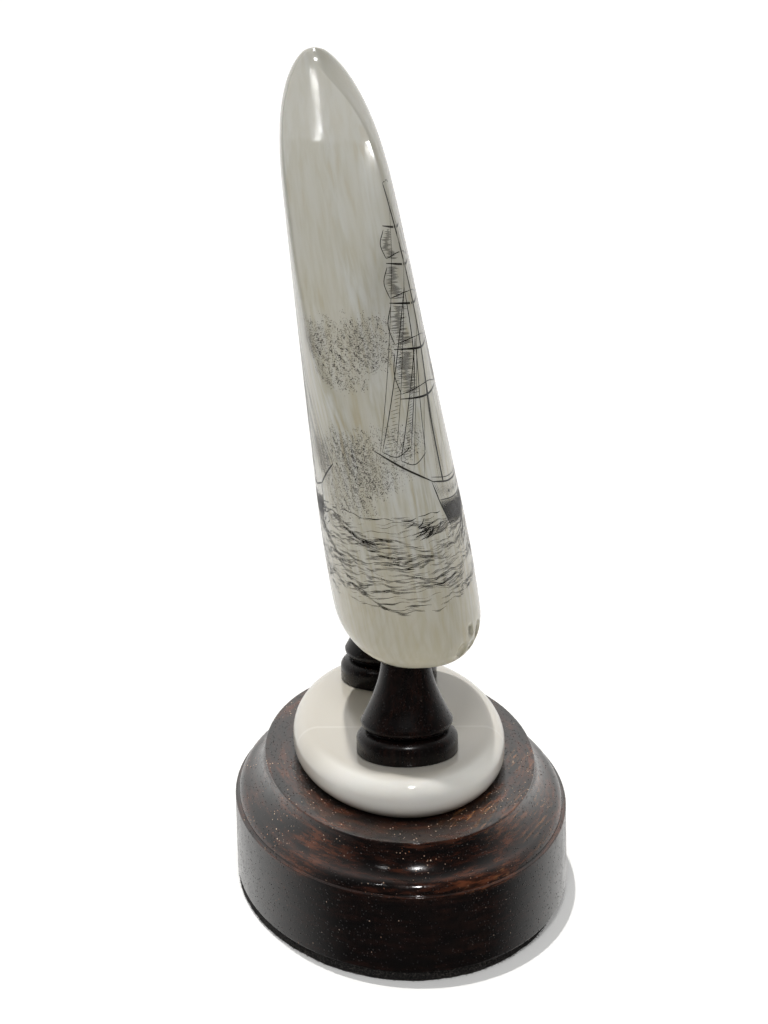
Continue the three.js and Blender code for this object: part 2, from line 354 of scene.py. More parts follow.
def rosewood(nodes, followed, fibre_way, calm_below, brown, speckle, smooth, gloss):
    """Dark wood. Its red and orange figure lies along the followed place and fades below a
    height, its fibres run along the stretched axis, and pale polish is left in its pores."""
    calm = calm_below * mm
    lively = nodes.span(nodes.axis("Z"), calm - 0.0015, calm + 0.0008, 0.02, 1)
    figure = nodes.noise(260, 4, 0.55, over=followed)
    bands = nodes.noise(520, 3, 0.6, over=followed)
    lines = nodes.noise(1500, 4, 0.6, over=followed)
    streaks = nodes.noise(1100, 4, 0.6, over=nodes.stretch(fibre_way, (0, 0, 24)))
    patches = nodes.noise(30, 2)
    black = tone(0.0035, 0.0025, 0.0025)
    veined = nodes.times(nodes.span(bands, 0.36, 0.66), nodes.math("MAXIMUM", lively, 0.34))
    nodes.colour = nodes.mix(veined, black, tone(0.034, 0.0105, 0.006))
    red = nodes.times(nodes.span(figure, 0.44, 0.64), nodes.span(patches, 0.36, 0.58), lively, brown)
    nodes.coat(red, tone(0.135, 0.042, 0.019))
    orange = nodes.times(nodes.span(streaks, 0.48, 0.68), nodes.span(patches, 0.50, 0.66))
    to_right = nodes.span(nodes.axis("X"), -0.020, 0.012)
    orange = nodes.times(orange, to_right, lively, brown)
    nodes.coat(orange, tone(0.27, 0.115, 0.042))
    nodes.tint(0.8, lines, 0.60, 0.40, black)
    # pores: some hold pale polish, gathered in places, and others are open pits
    inputs = {"Vector": nodes.stretch((1.0, 0.55, 1.0)), "Scale": pores_per_metre}
    pores = nodes.add("TexVoronoi", inputs)
    chosen = nodes.add("SeparateColor", {0: pores.outputs["Color"]})
    dot = nodes.span(pores.outputs["Distance"], 0.30, 0.12)
    gathered = nodes.times(nodes.span(nodes.noise(60, 3), 0.47, 0.58), lively)
    picked = nodes.times(nodes.span(chosen.outputs[0], 0.62, 0.82), gathered)
    lone = nodes.span(chosen.outputs[1], 0.976, 0.988, 0, 0.45)
    speck = nodes.times(dot, nodes.math("MAXIMUM", picked, lone), speckle)
    shade = nodes.mix(chosen.outputs[2], tone(0.30, 0.10, 0.04), tone(0.85, 0.66, 0.50))
    nodes.coat(speck, shade)
    pit = nodes.times(dot, nodes.span(chosen.outputs[2], 0.35, 0.55))
    polish = nodes.polish(260, smooth, smooth + roughness_range)
    bump = nodes.bump(streaks, 0.00004, 0.4, nodes.bump(pit, 0.00012, 0.8))
    return nodes.finish(
        Base_Color=nodes.colour, Roughness=nodes.math("MAXIMUM", polish, nodes.times(pit, 0.7)),
        Normal=bump, IOR=1.45, Specular_IOR_Level=gloss,
    )


def base_wood():
    """Its figure follows the mouldings, and the plinth is plain."""
    nodes = Nodes("rosewood")
    return rosewood(
        nodes, nodes.round_base(0.11), fibre_way=(1.0, 0.07, 1.0),
        calm_below=base_low[2] + plinth_height, brown=0.95, speckle=0.9, smooth=0.11, gloss=0.5)


def pillar_wood():
    """Plain wood throughout, with upright figure."""
    nodes = Nodes("pillar_rosewood")
    return rosewood(
        nodes, nodes.stretch((1.3, 1.3, 0.07)), fibre_way=(1.0, 1.0, 0.06),
        calm_below=2 * cad_box[1][2] / mm, brown=0.5, speckle=0.25, smooth=0.22, gloss=0.3)


def black_felt(name, paleness):
    nodes = Nodes(name)
    fluff = nodes.noise(1500, 5, 0.75)
    lumps = nodes.noise(320, 3)
    nodes.colour = nodes.mix(nodes.span(fluff, 0.35, 0.7), grey(0.002, 1, 1), grey(paleness, 0.88, 0.8))
    nodes.tint(0.4, lumps, 0.5, 0.8, tone(0.03, 0.026, 0.022))
    bump = nodes.bump(fluff, 0.0004, 0.9)
    return nodes.finish(Base_Color=nodes.colour, Roughness=1.0, Normal=bump, Sheen_Weight=0.05)


def engraver_ink(name, dark, worn):
    nodes = Nodes(name)
    wear = nodes.noise(900, 4, 0.7)
    nodes.colour = nodes.mix(nodes.span(wear, 0.35, 0.7), grey(dark, 0.9, 0.8), grey(worn, 0.88, 0.76))
    rough = nodes.span(wear, 0.3, 0.7, 0.35, 0.55)
    return nodes.finish(Base_Color=nodes.colour, Roughness=rough, IOR=1.4)


def floor_paper():
    nodes = Nodes("floor_paper")
    fibre = nodes.noise(900, 4, 0.6)
    nodes.colour = nodes.mix(nodes.span(fibre, 0.3, 0.7), tone(0.86, 0.86, 0.85), tone(0.88, 0.88, 0.87))
    return nodes.finish(
        Base_Color=nodes.colour, Roughness=0.9, IOR=1.2,
        Emission_Color=tone(1.0, 1.0, 0.99), Emission_Strength=floor_glow,
    )


# Meshes

def link_mesh(name, points, faces, material):
    mesh = bpy.data.meshes.new(name)
    mesh.from_pydata((np.asarray(points) * mm).tolist(), [], faces)
    mesh.shade_smooth()
    mesh.materials.append(material)
    return add_object(name, mesh)


def make_piece(name, points, faces, material, slot, *nodes):
    piece = link_mesh(name, points, faces, material)
    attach(piece, "root")
    if nodes:
        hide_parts(*nodes)


def unit(vectors):
    return vectors / np.maximum(1e-9, np.linalg.norm(vectors, axis=-1, keepdims=True))


def loft(rings):
    """Points and faces of a closed body through rings listed from the bottom up."""
    levels, sides, _ = rings.shape
    level, side = np.meshgrid(np.arange(levels - 1), np.arange(sides), indexing="ij")
    here = level * sides + side
    after = level * sides + (side + 1) % sides
    walls = np.stack([here, after, after + sides, here + sides], -1).reshape(-1, 4)
    points = np.concatenate([rings.reshape(-1, 3), [rings[0].mean(0)], [rings[-1].mean(0)]])
    first = np.arange(sides)
    second = (first + 1) % sides
    last = (levels - 1) * sides
    bottom = np.stack([np.full(sides, levels * sides), second, first], -1)
    top = np.stack([np.full(sides, levels * sides + 1), first + last, second + last], -1)
    return points, walls.tolist() + bottom.tolist() + top.tolist()


def arc(centre, radius_x, radius_y, start, end, steps):
    """Points of an arc of an ellipse, angles in degrees, both ends included."""
    angles = np.radians(np.linspace(start, end, steps + 1))
    across = centre[0] + radius_x * np.cos(angles)
    return list(zip(across, centre[1] + radius_y * np.sin(angles)))


def soften(corners, steps=6):
    """A path whose corners, given as (x, y) or (x, y, radius), are rounded off."""
    places = [np.array(corner[:2], float) for corner in corners]
    radii = [corner[2] if len(corner) == 3 else 0 for corner in corners]
    path = places[:1]
    for before, here, after, radius in zip(places[:-2], places[1:-1], places[2:], radii[1:-1]):
        if radius == 0:
            path.append(here)
            continue
        back = before - here
        ahead = after - here
        reach = min(radius, np.linalg.norm(back) / 2, np.linalg.norm(ahead) / 2)
        start = here + unit(back) * reach
        end = here + unit(ahead) * reach
        for share in np.linspace(0, 1, steps + 1):
            middle = 2 * share * (1 - share)
            path.append((1 - share) ** 2 * start + middle * here + share ** 2 * end)
    return path + places[-1:]


def oval_body(half_width, half_length, profile, bottom, sides=320, wobble=None):
    """A closed body whose outline steps in from an oval: profile points are (inset, height)."""
    angles = np.arange(sides) * 2 * math.pi / sides
    rings = []
    for inset, height in profile:
        ring = np.zeros((sides, 3))
        ring[:, 0] = (half_width - inset) * np.cos(angles)
        ring[:, 1] = (half_length - inset) * np.sin(angles)
        ring[:, 2] = bottom + height
        if wobble is not None:
            ring[:, :2] *= (1 - wobble(angles) / half_width)[:, None]
        rings.append(ring)
    return loft(np.array(rings))


# Base

plinth_height = 18.4
plinth_arris = 0.9
moulding_inset = 7.5
ledge_lip = 0.8
shoulder_radius = 3.0
edge_softness = 0.35


def make_base(material):
    full_height = base_high[2] - base_low[2]
    rise = full_height - plinth_height - ledge_lip
    run = moulding_inset - plinth_arris
    both_radii = (run ** 2 + rise ** 2) / (2 * run)
    cove_radius = both_radii - shoulder_radius
    turn = math.degrees(math.asin(rise / both_radii))
    shoulder = arc(
        (plinth_arris + shoulder_radius, plinth_height), shoulder_radius, shoulder_radius,
        180, 180 - turn, 14)
    cove = arc(
        (moulding_inset - cove_radius, plinth_height + rise), cove_radius, cove_radius,
        -turn, 0, 20)
    corners = [
        (6, 0),
        (0, 0, edge_softness),
        (0, plinth_height, edge_softness),
        *shoulder,
        *cove[1:],
        (moulding_inset, full_height, 2 * edge_softness),
        (moulding_inset + 3, full_height),
        (moulding_inset + 8, full_height),
    ]
    points, faces = oval_body(base_high[0], base_high[1], soften(corners), base_low[2])
    make_piece("rosewood_base", points, faces, material, "rosewood", "wood_base")


# Felt

felt_short = 1.6
felt_short_side = math.radians(-12)
fibre_count = 9000
fibre_length = 0.8
fibre_width = 0.11
fibre_root_depth = 0.12
fibre_push = 0.55  # how much a fibre points outwards
fibre_overhang = 0.35


def make_felt(material, fluff):
    height = felt_high[2] - felt_low[2]
    waves = random.uniform(0, 2 * math.pi, 14)

    def ragged(angles):
        total = np.full(len(angles), 0.15)
        for number, phase in enumerate(waves):
            total += np.sin(angles * (5 + 9 * number) + phase) * 0.10 / (1 + number)
        # the felt stops short of the plinth on its right-hand side
        short = np.cos(angles - felt_short_side) ** 2 * (np.cos(angles - felt_short_side) > 0)
        return np.maximum(0.0, total) + felt_short * short ** 2

    profile = soften([(8, 0), (0, 0, 0.5), (0, height, 0.2), (8, height)], 4)
    half_width, half_length = felt_high[0], felt_high[1]
    points, faces = oval_body(half_width, half_length, profile, 0, 720, ragged)
    make_piece("felt_layer", points, faces, material, "felt", "felt_pad")

    angles = random.uniform(0, 2 * math.pi, fibre_count)
    heights = random.uniform(0.1, height - 0.1, fibre_count)
    leans = random.normal(0, 0.9, fibre_count)
    rises = random.normal(0, 0.5, fibre_count)
    lengths = fibre_length * random.uniform(0.4, 1.0, fibre_count)
    outward = unit(
        np.stack([np.cos(angles) / half_width, np.sin(angles) / half_length, 0 * angles], -1))
    beside = np.stack([-outward[:, 1], outward[:, 0], 0 * angles], -1)
    up = np.array([0.0, 0.0, 1.0])
    inset = ragged(angles) + fibre_root_depth
    root = np.stack([
        (half_width - inset) * np.cos(angles), (half_length - inset) * np.sin(angles), heights], -1)
    way = unit(outward * fibre_push + beside * leans[:, None] + up * rises[:, None])
    tip = root + way * lengths[:, None]
    tip[:, 2] = np.clip(tip[:, 2], 0.05, height - 0.05)
    furthest = np.array([half_width, half_length]) + fibre_overhang
    reach = np.linalg.norm(tip[:, :2] / furthest, axis=1)
    tip[:, :2] /= np.maximum(1, reach)[:, None]
    wide = unit(np.cross(way, outward)) * fibre_width / 2
    points = np.stack([root - wide, root + wide, tip], 1).reshape(-1, 3)
    faces = np.arange(3 * fibre_count).reshape(-1, 3).tolist()
    make_piece("felt_fibres", points, faces, fluff, "felt")


# Ivory plate

plate_top_round = 5.4
plate_foot_round = 3.0


def make_plate(material):
    thickness = plate_high[2] - plate_low[2]
    foot_round = plate_foot_round
    top_round = plate_top_round
    foot = arc((foot_round, foot_round), foot_round, foot_round, 270, 180, 12)
    top = arc((top_round, thickness - top_round), top_round, top_round, 180, 90, 24)
    flat = [(top_round + 3, thickness), (top_round + 10, thickness)]
    points, faces = oval_body(plate_high[0], plate_high[1], foot + top + flat, plate_low[2])
    make_piece("polished_plate", points, faces, material, "plate_ivory", "ivory_plate")


# Pillars

foot_rim_height = 3.4
foot_crown_height = 2.2
groove_radius = 9.4
groove_height = 0.5
bell_radius = 10.9
bell_round_height = 1.9
neck_radius = 5.8
neck_sweep = 1.6
pillar_sides = 144


def make_pillar(node, material):
    low, high = box_mm(node)
    foot_radius = (high[0] - low[0]) / 2
    height = high[2] - low[2]
    groove_bottom = foot_rim_height + foot_crown_height
    bell_bottom = groove_bottom + groove_height
    bell_widest = bell_bottom + bell_round_height
    crown = arc(
        (groove_radius, foot_rim_height), foot_radius - groove_radius, foot_crown_height, 0, 90, 14)
    bell = arc(
        (groove_radius, bell_widest), bell_radius - groove_radius, bell_round_height, -90, 0, 12)
    groove_wall = groove_radius - 0.25
    profile = [(foot_radius - 0.3, 0), (foot_radius, 0.3), *crown]
    profile += [(groove_wall, groove_bottom + 0.1), (groove_wall, bell_bottom - 0.1), *bell]
    for share in np.linspace(0, 1, 41)[1:]:
        radius = neck_radius + (bell_radius - neck_radius) * (1 - share) ** neck_sweep
        profile.append((radius, bell_widest + (height - bell_widest) * share))
    insets = [(foot_radius - radius, level) for radius, level in profile]
    points, faces = oval_body(foot_radius, foot_radius, insets, low[2], pillar_sides)
    points[:, 1] += (low[1] + high[1]) / 2
    make_piece("turned_" + node, points, faces, material, "pillar_rosewood", node)


# Tooth

tooth_height = 138.6
tooth_lean = 0.139
butt_shift = 3.3
tip_shift = 0.5
tip_shift_start = 0.5
butt_thickness = 37.6
tip_thickness = 22.4
butt_half_depth = 39.0
front_sweep = 14.0
front_bow = 34.0
back_sweep = 22.0
back_bow = -12.5
tip_set_back = 13.0
butt_tuck = 1.6
butt_tuck_height = 32.0
butt_round_height = 7.0
butt_round_inset = 4.4
tip_start = 0.72
tip_taper = 3.25
tip_bluntness = 1.45
tip_point_height = 0.5  # the taper would come to a point this far above the tip
tip_cap_height = 1.1
body_squareness = 2.35
facet_start = 0.15
facet_full = 0.72
facet_narrowing = 0.85
facet_share_low = 1.3
facet_share_high = 0.52
facet_share_tip = 1.15
facet_turn_low = math.radians(14)
facet_turn_high = math.radians(-27)
facet_turn_start = 0.42
facet_turn_end = 0.72
facet_radius = 32.0
ridge_sharpness_low = 12.0
ridge_sharpness_high = 60.0
brow_height = 119.0  # above it the front facet leans back further
brow_slope = 0.10
tooth_columns = 256
butt_levels = 25
shank_levels = 210
tip_levels = 86
last_level = 0.99999  # share of the height, just short of the very tip


def lerp(first, second, share):
    return first + (second - first) * share


def ease(value, low, high):
    share = np.clip((value - low) / (high - low), 0, 1)
    return share * share * (3 - 2 * share)


def lesser(first, second, sharpness):
    """The smooth lesser of two radii."""
    return first * (1 + (first / second) ** sharpness) ** (-1 / sharpness)


def tooth_surface(height, angle):
    """Points of the tooth's surface at heights above its butt and angles round it."""
    share = height / tooth_height
    start = tip_start * tooth_height
    along = np.maximum(0, (height - start) / (tooth_height + tip_point_height - start))
    into_cap = np.maximum(0, 1 - (tooth_height - height) / tip_cap_height)
    fade = (1 - along ** tip_taper) ** (1 / tip_bluntness) * np.sqrt(1 - into_cap ** 2)
    round_left = np.maximum(0, 1 - height / butt_round_height)
    tuck_left = np.maximum(0, 1 - height / butt_tuck_height)
    inset = butt_round_inset * (1 - np.sqrt(1 - round_left ** 2)) + butt_tuck * tuck_left ** 2
    half_x = np.maximum(1e-4, lerp(butt_thickness, tip_thickness, share) / 2 * fade - inset)
    front = front_sweep * share + front_bow * share ** 2 - butt_half_depth
    front = front + brow_slope * np.maximum(0, height - brow_height)
    back = butt_half_depth - back_sweep * share - back_bow * share ** 2
    front = lerp(tip_set_back, front, fade) + inset
    back = lerp(tip_set_back, back, fade) - inset
    ground = ease(share, facet_start, facet_full)
    narrowing = (np.maximum(0, share - facet_narrowing) / (1 - facet_narrowing)) ** 2
    cut = lerp(lerp(facet_share_low, facet_share_high, ground), facet_share_tip, narrowing)
    sharpness = lerp(ridge_sharpness_low, ridge_sharpness_high, ease(share, 0.35, 0.8))
    half_y = np.maximum(1e-4, (back - front) / (1 + lesser(1.0, cut, sharpness)))
    middle_x = butt_shift - tooth_lean * height + tip_shift * ease(share, tip_shift_start, 1)
    middle_y = back - half_y
    turn = lerp(facet_turn_low, facet_turn_high, ease(share, facet_turn_start, facet_turn_end))
    towards = np.arctan2(half_y * np.sin(angle), half_x * np.cos(angle))
    over_x = np.abs(np.cos(towards) / half_x) ** body_squareness
    over_y = np.abs(np.sin(towards) / half_y) ** body_squareness
    to_oval = (over_x + over_y) ** (-1 / body_squareness)
    depth = cut * half_y
    facing = -np.sin(towards - turn)
    bowing = 2 * depth * np.cos(towards - turn) ** 2 / facet_radius
    to_facet = 2 * depth / (facing + np.sqrt(facing ** 2 + bowing))
    radius = lesser(to_oval, to_facet, sharpness)
    across = middle_x + radius * np.cos(towards)
    deep = middle_y + radius * np.sin(towards)
    return np.stack([across, deep, tooth_low[2] + height + 0 * towards], -1)


def tooth_rings():
    quarter = math.pi / 2
    tip_bottom = tip_start * tooth_height
    butt = butt_round_height * (1 - np.cos(np.linspace(0, quarter, butt_levels + 1)[:-1]))
    shank = np.linspace(butt_round_height, tip_bottom, shank_levels + 1)[:-1]
    risen = np.sin(np.linspace(0, quarter, tip_levels))
    tip = lerp(tip_bottom, tooth_height * last_level, risen)
    heights = np.concatenate([butt, shank, tip])[:, None]
    angles = (np.arange(tooth_columns) * 2 * math.pi / tooth_columns - math.pi / 2)[None]
    return tooth_surface(heights, angles)


# Chips at the butt's edge: centre, reach and depth of each
chip_bite = 1.5
chip_roundness = 0.35
chips = (
    ((15.6, -28.0, 70.2), 1.5, 0.9),
    ((18.9, -22.0, 67.4), 3.4, 1.0),
    ((13.2, -31.5, 66.4), 2.0, 0.7),
    ((16.6, -27.0, 65.0), 2.6, 0.9),
    ((-10.5, 30.0, 66.0), 2.4, 0.8),
)


def chip_away(rings):
    centre = rings.mean(1, keepdims=True)
    outward = unit((rings - centre) * np.array([1, 1, 0]))
    for place, reach, depth in chips:
        away = np.linalg.norm(rings - np.array(place), axis=-1)
        bite = chip_bite * depth * np.maximum(0, 1 - (away / reach) ** 2) ** chip_roundness
        rings = rings - outward * bite[..., None]
    return rings


def make_tooth(material):
    rings = chip_away(tooth_rings())
    points, faces = loft(rings)
    make_piece("carved_tooth", points, faces, material, "tooth_ivory", "tooth")
    return rings


# Engraving. Places on the tooth are (turn, height): turn runs from 0 at the front edge to 1
# at the back edge, positive towards +X and negative towards -X.

ink_lift = 0.02
ink_boldness = 1.55
stroke_step = 0.6
shortest_kept = 0.05
chart_columns = 1024
dot_sides = 6


class Chart:
    """Turns places on the tooth into points on its surface."""

    def __init__(self, rings):
        self.heights = rings[:, 0, 2] - tooth_low[2]
        looped = np.concatenate([rings, rings[:, :1]], 1)
        steps = np.linalg.norm(np.diff(looped, axis=1), axis=-1)
        lengths = np.concatenate([np.zeros((len(rings), 1)), np.cumsum(steps, 1)], 1)
        self.half_round = lengths[:, -1] / 2
        shares = np.linspace(0, 1, chart_columns + 1)
        even = [
            np.stack([np.interp(shares, row / row[-1], ring[:, axis]) for axis in range(3)], -1)
            for row, ring in zip(lengths, looped)
        ]
        self.grid = np.array(even)
        around = np.roll(self.grid[:, :-1], -1, 1) - np.roll(self.grid[:, :-1], 1, 1)
        upward = np.gradient(self.grid, axis=0)[:, :-1]
        normal = unit(np.cross(around, upward))
        self.normals = np.concatenate([normal, normal[:, :1]], 1)

    def width(self, height):
        """Length of the surface from front to back, for each unit of turn."""
        return np.interp(height, self.heights, self.half_round)

    def points(self, places, lift=ink_lift):
        turn, height = places[..., 0], places[..., 1]
        row = np.interp(height, self.heights, np.arange(len(self.heights)))
        column = (turn / 2 % 1) * chart_columns
        low_row = np.clip(row.astype(int), 0, len(self.heights) - 2)
        low_column = np.clip(column.astype(int), 0, chart_columns - 1)
        up = (row - low_row)[..., None]
        on = (column - low_column)[..., None]

        def blend(grid):
            lower = lerp(grid[low_row, low_column], grid[low_row, low_column + 1], on)
            upper = lerp(grid[low_row + 1, low_column], grid[low_row + 1, low_column + 1], on)
            return lerp(lower, upper, up)

        return blend(self.grid) + lift * blend(self.normals)


class Ink:
    """Collects strokes and dots that lie on the tooth."""

    def __init__(self, chart):
        self.chart = chart
        self.points = []
        self.faces = []
        self.count = 0

    def keep(self, points, faces):
        self.points.append(points)
        self.faces.extend((np.asarray(faces) + self.count).tolist())
        self.count += len(points)

    def stroke(self, places, width, taper=0.25, start_width=None):
        """A line through places, its width in millimetres, thinning at both ends."""
        places = np.asarray(places, float)
        scale = np.array([self.chart.width(places[:, 1].mean()), 1.0])
        flat = places * scale
        lengths = np.concatenate([[0], np.cumsum(np.linalg.norm(np.diff(flat, axis=0), axis=1))])
        if lengths[-1] < shortest_kept:
            return
        count = max(3, int(lengths[-1] / stroke_step) + 2)
        even = np.linspace(0, lengths[-1], count)
        line = np.stack([np.interp(even, lengths, flat[:, axis]) for axis in range(2)], -1)
        ahead = unit(np.gradient(line, axis=0))
        beside = np.stack([-ahead[:, 1], ahead[:, 0]], -1)
        share = np.linspace(0, 1, count)
        thin = np.minimum(1, np.minimum(share, 1 - share) / max(taper, 1e-6))
        full = width if start_width is None else lerp(start_width, width, share)
        half = ((0.3 + 0.7 * thin) * full * ink_boldness / 2)[:, None]
        edges = np.concatenate([line + beside * half, line - beside * half])
        points = self.chart.points(edges / scale)
        here = np.arange(count - 1)
        self.keep(points, np.stack([here, here + count, here + count + 1, here + 1], -1))

    def dots(self, places, radii):
        """Small round dots."""
        places = np.asarray(places, float)
        angles = np.arange(dot_sides) * 2 * math.pi / dot_sides + 0.4
        scale = self.chart.width(places[:, 1])[:, None]
        turn = places[:, :1] + radii[:, None] * np.cos(angles) / scale
        height = places[:, 1:] + radii[:, None] * np.sin(angles)
        points = self.chart.points(np.stack([turn, height], -1)).reshape(-1, 3)
        self.keep(points, np.arange(len(points)).reshape(-1, dot_sides))

    def make(self, name, material):
        make_piece(name, np.concatenate(self.points), self.faces, material, "tooth_ivory")


def curve(*corners, count=24):
    """A smooth curve of so many points through a few places, ends included."""
    corners = np.asarray(corners, float)
    before = 2 * corners[:1] - corners[1:2]
    after = 2 * corners[-1:] - corners[-2:-1]
    padded = np.concatenate([before, corners, after])
    place = np.linspace(0, len(corners) - 1, count)
    piece = np.minimum(place.astype(int), len(corners) - 2)
    share = (place - piece)[:, None]
    first, second, third, fourth = (padded[piece + step] for step in range(4))
    return 0.5 * (
        2 * second
        + (third - first) * share
        + (2 * first - 5 * second + 4 * third - fourth) * share ** 2
        + (3 * second - first - 3 * third + fourth) * share ** 3
    )


# Clouds: banks of stippling, each an ellipse given by its middle, half sizes and darkness.
# Turns are shares of the way round, heights millimetres above the butt.
cloud_banks = (
    (-0.10, 73.0, 0.15, 8.5, 1.0),
    (0.03, 75.5, 0.11, 6.5, 0.7),
    (-0.20, 76.0, 0.06, 5.0, 0.6),
    (-0.17, 45.0, 0.15, 11.0, 1.0),
    (-0.06, 48.5, 0.13, 8.5, 0.9),
    (0.07, 53.5, 0.07, 4.5, 0.75),
    (-0.30, 48.0, 0.10, 5.0, 0.6),
    (0.58, 66.0, 0.16, 5.0, 0.5),
    (0.70, 58.0, 0.13, 4.0, 0.4),
    (-0.62, 82.0, 0.16, 6.0, 0.5),
    (-0.74, 52.0, 0.12, 5.0, 0.4),
)
cloud_dots_per_mm2 = 62.0  # before thinning out
cloud_reach = 1.25  # how far past its half sizes a bank is dotted
cloud_edge = (0.62, 1.08)  # where a bank begins and ends to thin out
smallest_dot = 0.04
largest_dot = 0.085
mottle_waves = 26


def mottle(places, shortest, longest, lean):
    """An uneven pattern between about -1 and 1 over places in millimetres, drawn out upwards."""
    total = np.zeros(len(places))
    for _ in range(mottle_waves):
        length = random.uniform(shortest, longest)
        angle = random.normal(0, 0.6) + lean
        phase = random.uniform(0, 2 * math.pi)
        way = places[:, 0] * math.cos(angle) + places[:, 1] * math.sin(angle)
        total += np.sin(way * 2 * math.pi / length + phase)
    return total / math.sqrt(mottle_waves)


def make_clouds(chart, material):
    ink = Ink(chart)
    for turn, height, half_turn, half_height, darkness in cloud_banks:
        width = chart.width(height)
        area = 4 * half_turn * width * half_height
        count = int(area * cloud_dots_per_mm2)
        spread = random.uniform(-cloud_reach, cloud_reach, (count, 2))
        flat = spread * np.array([half_turn * width, half_height])  # in millimetres
        ragged = mottle(flat, 3.0, 14.0, 0.5)
        clumped = mottle(flat, 0.7, 2.6, 0.25)
        away = np.hypot(spread[:, 0], spread[:, 1]) + 0.16 * ragged
        within = 1 - ease(away, *cloud_edge)
        density = darkness * within * np.clip(0.40 + 0.22 * clumped, 0.05, 1)
        kept = random.uniform(0, 1, count) < density
        places = np.array([turn, height]) + spread * np.array([half_turn, half_height])
        radii = random.uniform(smallest_dot, largest_dot, count)
        radii *= 1 + 0.25 * np.clip(clumped, 0, 1.5)
        ink.dots(places[kept], radii[kept])
    ink.make("engraved_clouds", material)


# Sea
sea_bottom = 15.5
sea_top = 35.5
sea_rows = 34
sea_start = -0.95  # turns between which the strokes of the sea begin
sea_end = 0.92
sea_swell = 0.42  # heights of three kinds of wave
sea_wave = 0.30
sea_ripple = 0.12
shortest_stroke = 0.02  # lengths in turns
longest_stroke = 0.085
lightest_stroke = 0.035  # widths in millimetres
darkest_stroke = 0.078
echo_gap = 0.20
crest_strokes = 22
crest_places = ((0.085, 33.0), (0.30, 31.0), (-0.33, 33.5), (0.62, 30.0), (-0.66, 31.0))


def ripple(turn, height, phase):
    """How far a wave line rises above its own height."""
    swell = sea_swell * np.sin(turn * 17 + 0.25 * height + phase)
    wave = sea_wave * np.sin(turn * 52 + 1.7 * phase)
    return swell + wave + sea_ripple * np.sin(turn * 135 + 3 * phase)


def darkness_at(turn, height):
    """How closely the sea is worked at a place, from 0 to 1."""
    bunched = math.sin(turn * 21 + height * 0.55) + 0.8 * math.sin(turn * 9 - height * 1.15 + 1)
    return min(1.0, max(0.0, 0.45 + 0.33 * bunched))


def draw_waves(ink):
    """Rows of fine strokes, bunched where the sea is dark."""
    for row in range(sea_rows):
        base = lerp(sea_bottom, sea_top, row / (sea_rows - 1))
        turn = sea_start
        while turn < sea_end:
            length = random.uniform(shortest_stroke, longest_stroke)
            dark = darkness_at(turn, base)
            sparse = 1 - ease(abs(turn), 0.45, 0.9) * 0.6
            low_edge = ease(base, sea_bottom - 1, sea_bottom + 4)
            if random.uniform() < (0.45 + 0.55 * dark) * sparse * (0.35 + 0.65 * low_edge):
                phase = random.uniform(0, 0.7) + row * 0.35
                lift = random.normal(0, 0.30)
                for echo in range(1 + int(random.uniform(0, 1) + 2.6 * dark)):
                    start = turn + random.uniform(0, 0.35) * length * (echo > 0)
                    end = start + length * (1 if echo == 0 else random.uniform(0.3, 0.8))
                    turns = np.linspace(start, end, 16)
                    heights = base + lift + ripple(turns, base, phase) - echo_gap * echo
                    width = lerp(lightest_stroke, darkest_stroke, dark) * random.uniform(0.7, 1.3)
                    ink.stroke(np.stack([turns, heights], -1), width, 0.45)
            turn += length * random.uniform(0.45, 0.85)


def draw_horizon(ink):
    turns = np.linspace(-0.9, 0.9, 500)
    for start in range(0, 490, 14):
        piece = turns[start:start + random.integers(8, 18)]
        heights = sea_top + 0.9 + ripple(piece, sea_top, 2.1)
        ink.stroke(np.stack([piece, heights], -1), random.uniform(0.07, 0.17), 0.4)


def draw_crests(ink):
    for turn, height in crest_places:
        for _ in range(crest_strokes):
            start = turn + random.normal(0, 0.022)
            level = height + random.normal(0, 1.1)
            rise = random.uniform(0.4, 1.4)
            reach = random.uniform(0.012, 0.032)
            foot = (start - reach, level - rise * 0.6)
            head = (start + reach * 0.7, level + rise)
            ink.stroke(curve(foot, (start, level), head, count=10), random.uniform(0.09, 0.20), 0.5)


def make_sea(chart, material):
    ink = Ink(chart)
    draw_waves(ink)
    draw_horizon(ink)
    draw_crests(ink)
    ink.make("engraved_sea", material)


